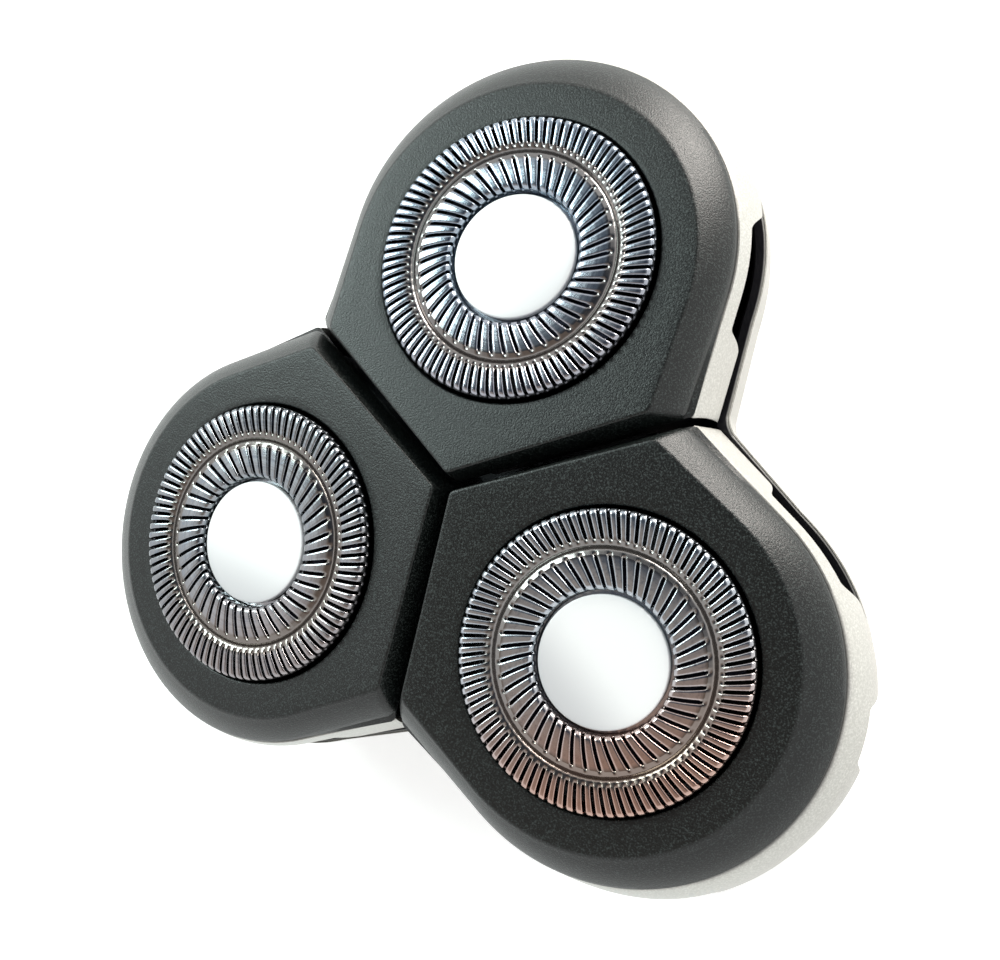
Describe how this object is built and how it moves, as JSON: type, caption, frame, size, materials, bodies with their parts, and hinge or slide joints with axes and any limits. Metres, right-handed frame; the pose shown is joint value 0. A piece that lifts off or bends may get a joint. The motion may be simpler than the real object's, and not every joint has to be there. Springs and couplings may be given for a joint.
{
  "type": "rotary shaving unit",
  "caption": "Detached rotary shaving unit: splayed pods with slotted guards over spinning cutters, on a lobed geared base with a click-on neck.",
  "frame": {"origin": "centre of the gear axle's flat lower end, on the unit's axis in the plane of the neck's rim", "axes": "+Z from the neck towards the shaving faces, +Y towards pod 1"},
  "size_m": [0.0636, 0.0596, 0.022],
  "materials": {
    "silver_paint": "fine-grained silver paint on moulded plastic",
    "satin_black": "satin black moulding with a fine pearl speckle",
    "dark_plastic": "near-black moulding",
    "grey_plastic": "grey moulding",
    "gear_plastic": "natural acetal",
    "guard_steel": "polished stainless steel",
    "blade_steel": "ground stainless steel",
    "polished_cap": "plain polished disc",
    "rubber": "black rubber",
    "spring_steel": "spring wire"
  },
  "bodies": {
    "base": {"base_bowl": "silver_paint", "gear_cover": "grey_plastic", "gear_axle": "blade_steel", "coupling_neck": "dark_plastic", "neck_seal": "rubber", "hinge_pin_1": "blade_steel", "hinge_pin_2": "blade_steel", "hinge_pin_3": "blade_steel", "cover_screw_1": "blade_steel", "cover_screw_2": "blade_steel", "cover_screw_3": "blade_steel", "pod_spring_1": "spring_steel", "pod_spring_2": "spring_steel", "pod_spring_3": "spring_steel"},
    "drive": {"drive_gear": "gear_plastic"},
    "gear_1": {"driven_gear_1": "gear_plastic", "spindle_spring_1": "spring_steel"},
    "drive_rod_1": {"spindle_1": "dark_plastic"},
    "pod_1": {"pod_tray_1": "dark_plastic", "pod_shell_1": "silver_paint", "pod_cover_1": "satin_black", "retaining_frame_1": "grey_plastic", "float_spring_1": "spring_steel", "spindle_seal_1": "rubber"},
    "head_1": {"guard_1": "guard_steel", "centre_cap_1": "polished_cap"},
    "blade_1": {"cutter_1": "blade_steel"},
    "gear_2": {"driven_gear_2": "gear_plastic", "spindle_spring_2": "spring_steel"},
    "drive_rod_2": {"spindle_2": "dark_plastic"},
    "pod_2": {"pod_tray_2": "dark_plastic", "pod_shell_2": "silver_paint", "pod_cover_2": "satin_black", "retaining_frame_2": "grey_plastic", "float_spring_2": "spring_steel", "spindle_seal_2": "rubber"},
    "head_2": {"guard_2": "guard_steel", "centre_cap_2": "polished_cap"},
    "blade_2": {"cutter_2": "blade_steel"},
    "gear_3": {"driven_gear_3": "gear_plastic", "spindle_spring_3": "spring_steel"},
    "drive_rod_3": {"spindle_3": "dark_plastic"},
    "pod_3": {"pod_tray_3": "dark_plastic", "pod_shell_3": "silver_paint", "pod_cover_3": "satin_black", "retaining_frame_3": "grey_plastic", "float_spring_3": "spring_steel", "spindle_seal_3": "rubber"},
    "head_3": {"guard_3": "guard_steel", "centre_cap_3": "polished_cap"},
    "blade_3": {"cutter_3": "blade_steel"}
  },
  "joints": [
    {"name": "drive_spin", "type": "hinge", "parent": "base", "child": "drive", "pos_m": [0, 0, 0.0065], "axis": [0, 0, 1], "continuous": true},
    {"name": "gear_spin_1", "type": "hinge", "parent": "base", "child": "gear_1", "pos_m": [0, 0.01662, 0.0065], "axis": [0, 0, 1], "continuous": true},
    {"name": "spindle_slide_1", "type": "slide", "parent": "gear_1", "child": "drive_rod_1", "axis": [0, 0, 1], "range_m": [-0.0012, 0], "deforming": ["spindle_spring_1"]},
    {"name": "pod_tilt_1", "type": "hinge", "parent": "base", "child": "pod_1", "pos_m": [0, 0.00405, 0.01138], "axis": [-1, 0, 0], "range_deg": [0, 4], "stiffness_Nm_per_rad": 0.05, "springref_deg": -5.73, "deforming": ["pod_spring_1"]},
    {"name": "guard_float_1", "type": "slide", "parent": "pod_1", "child": "head_1", "axis": [0, 0.1021, 0.9948], "range_m": [-0.0006, 0], "stiffness_N_per_m": 300, "springref_m": 0.001, "deforming": ["float_spring_1"]},
    {"name": "cutter_spin_1", "type": "hinge", "parent": "head_1", "child": "blade_1", "pos_m": [0, 0.017, 0.02], "axis": [0, 0.1021, 0.9948], "continuous": true},
    {"name": "gear_spin_2", "type": "hinge", "parent": "base", "child": "gear_2", "pos_m": [-0.01439, -0.00831, 0.0065], "axis": [0, 0, 1], "continuous": true},
    {"name": "spindle_slide_2", "type": "slide", "parent": "gear_2", "child": "drive_rod_2", "axis": [0, 0, 1], "range_m": [-0.0012, 0], "deforming": ["spindle_spring_2"]},
    {"name": "pod_tilt_2", "type": "hinge", "parent": "base", "child": "pod_2", "pos_m": [-0.00351, -0.00202, 0.01138], "axis": [0.5, -0.866, 0], "range_deg": [0, 4], "stiffness_Nm_per_rad": 0.05, "springref_deg": -5.73, "deforming": ["pod_spring_2"]},
    {"name": "guard_float_2", "type": "slide", "parent": "pod_2", "child": "head_2", "axis": [-0.0884, -0.051, 0.9948], "range_m": [-0.0006, 0], "stiffness_N_per_m": 300, "springref_m": 0.001, "deforming": ["float_spring_2"]},
    {"name": "cutter_spin_2", "type": "hinge", "parent": "head_2", "child": "blade_2", "pos_m": [-0.01473, -0.0085, 0.02], "axis": [-0.0884, -0.051, 0.9948], "continuous": true},
    {"name": "gear_spin_3", "type": "hinge", "parent": "base", "child": "gear_3", "pos_m": [0.01439, -0.00831, 0.0065], "axis": [0, 0, 1], "continuous": true},
    {"name": "spindle_slide_3", "type": "slide", "parent": "gear_3", "child": "drive_rod_3", "axis": [0, 0, 1], "range_m": [-0.0012, 0], "deforming": ["spindle_spring_3"]},
    {"name": "pod_tilt_3", "type": "hinge", "parent": "base", "child": "pod_3", "pos_m": [0.00351, -0.00202, 0.01138], "axis": [0.5, 0.866, 0], "range_deg": [0, 4], "stiffness_Nm_per_rad": 0.05, "springref_deg": -5.73, "deforming": ["pod_spring_3"]},
    {"name": "guard_float_3", "type": "slide", "parent": "pod_3", "child": "head_3", "axis": [0.0884, -0.051, 0.9948], "range_m": [-0.0006, 0], "stiffness_N_per_m": 300, "springref_m": 0.001, "deforming": ["float_spring_3"]},
    {"name": "cutter_spin_3", "type": "hinge", "parent": "head_3", "child": "blade_3", "pos_m": [0.01473, -0.0085, 0.02], "axis": [0.0884, -0.051, 0.9948], "continuous": true}
  ],
  "couplings": [
    {"joint": "gear_spin_1", "follows": "drive_spin", "ratio": -1.1538},
    {"joint": "cutter_spin_1", "follows": "drive_spin", "ratio": -1.1538},
    {"joint": "spindle_slide_1", "follows": "pod_tilt_1", "m_per_rad": -0.01256},
    {"joint": "gear_spin_2", "follows": "drive_spin", "ratio": -1.1538},
    {"joint": "cutter_spin_2", "follows": "drive_spin", "ratio": -1.1538},
    {"joint": "spindle_slide_2", "follows": "pod_tilt_2", "m_per_rad": -0.01256},
    {"joint": "gear_spin_3", "follows": "drive_spin", "ratio": -1.1538},
    {"joint": "cutter_spin_3", "follows": "drive_spin", "ratio": -1.1538},
    {"joint": "spindle_slide_3", "follows": "pod_tilt_3", "m_per_rad": -0.01256}
  ]
}
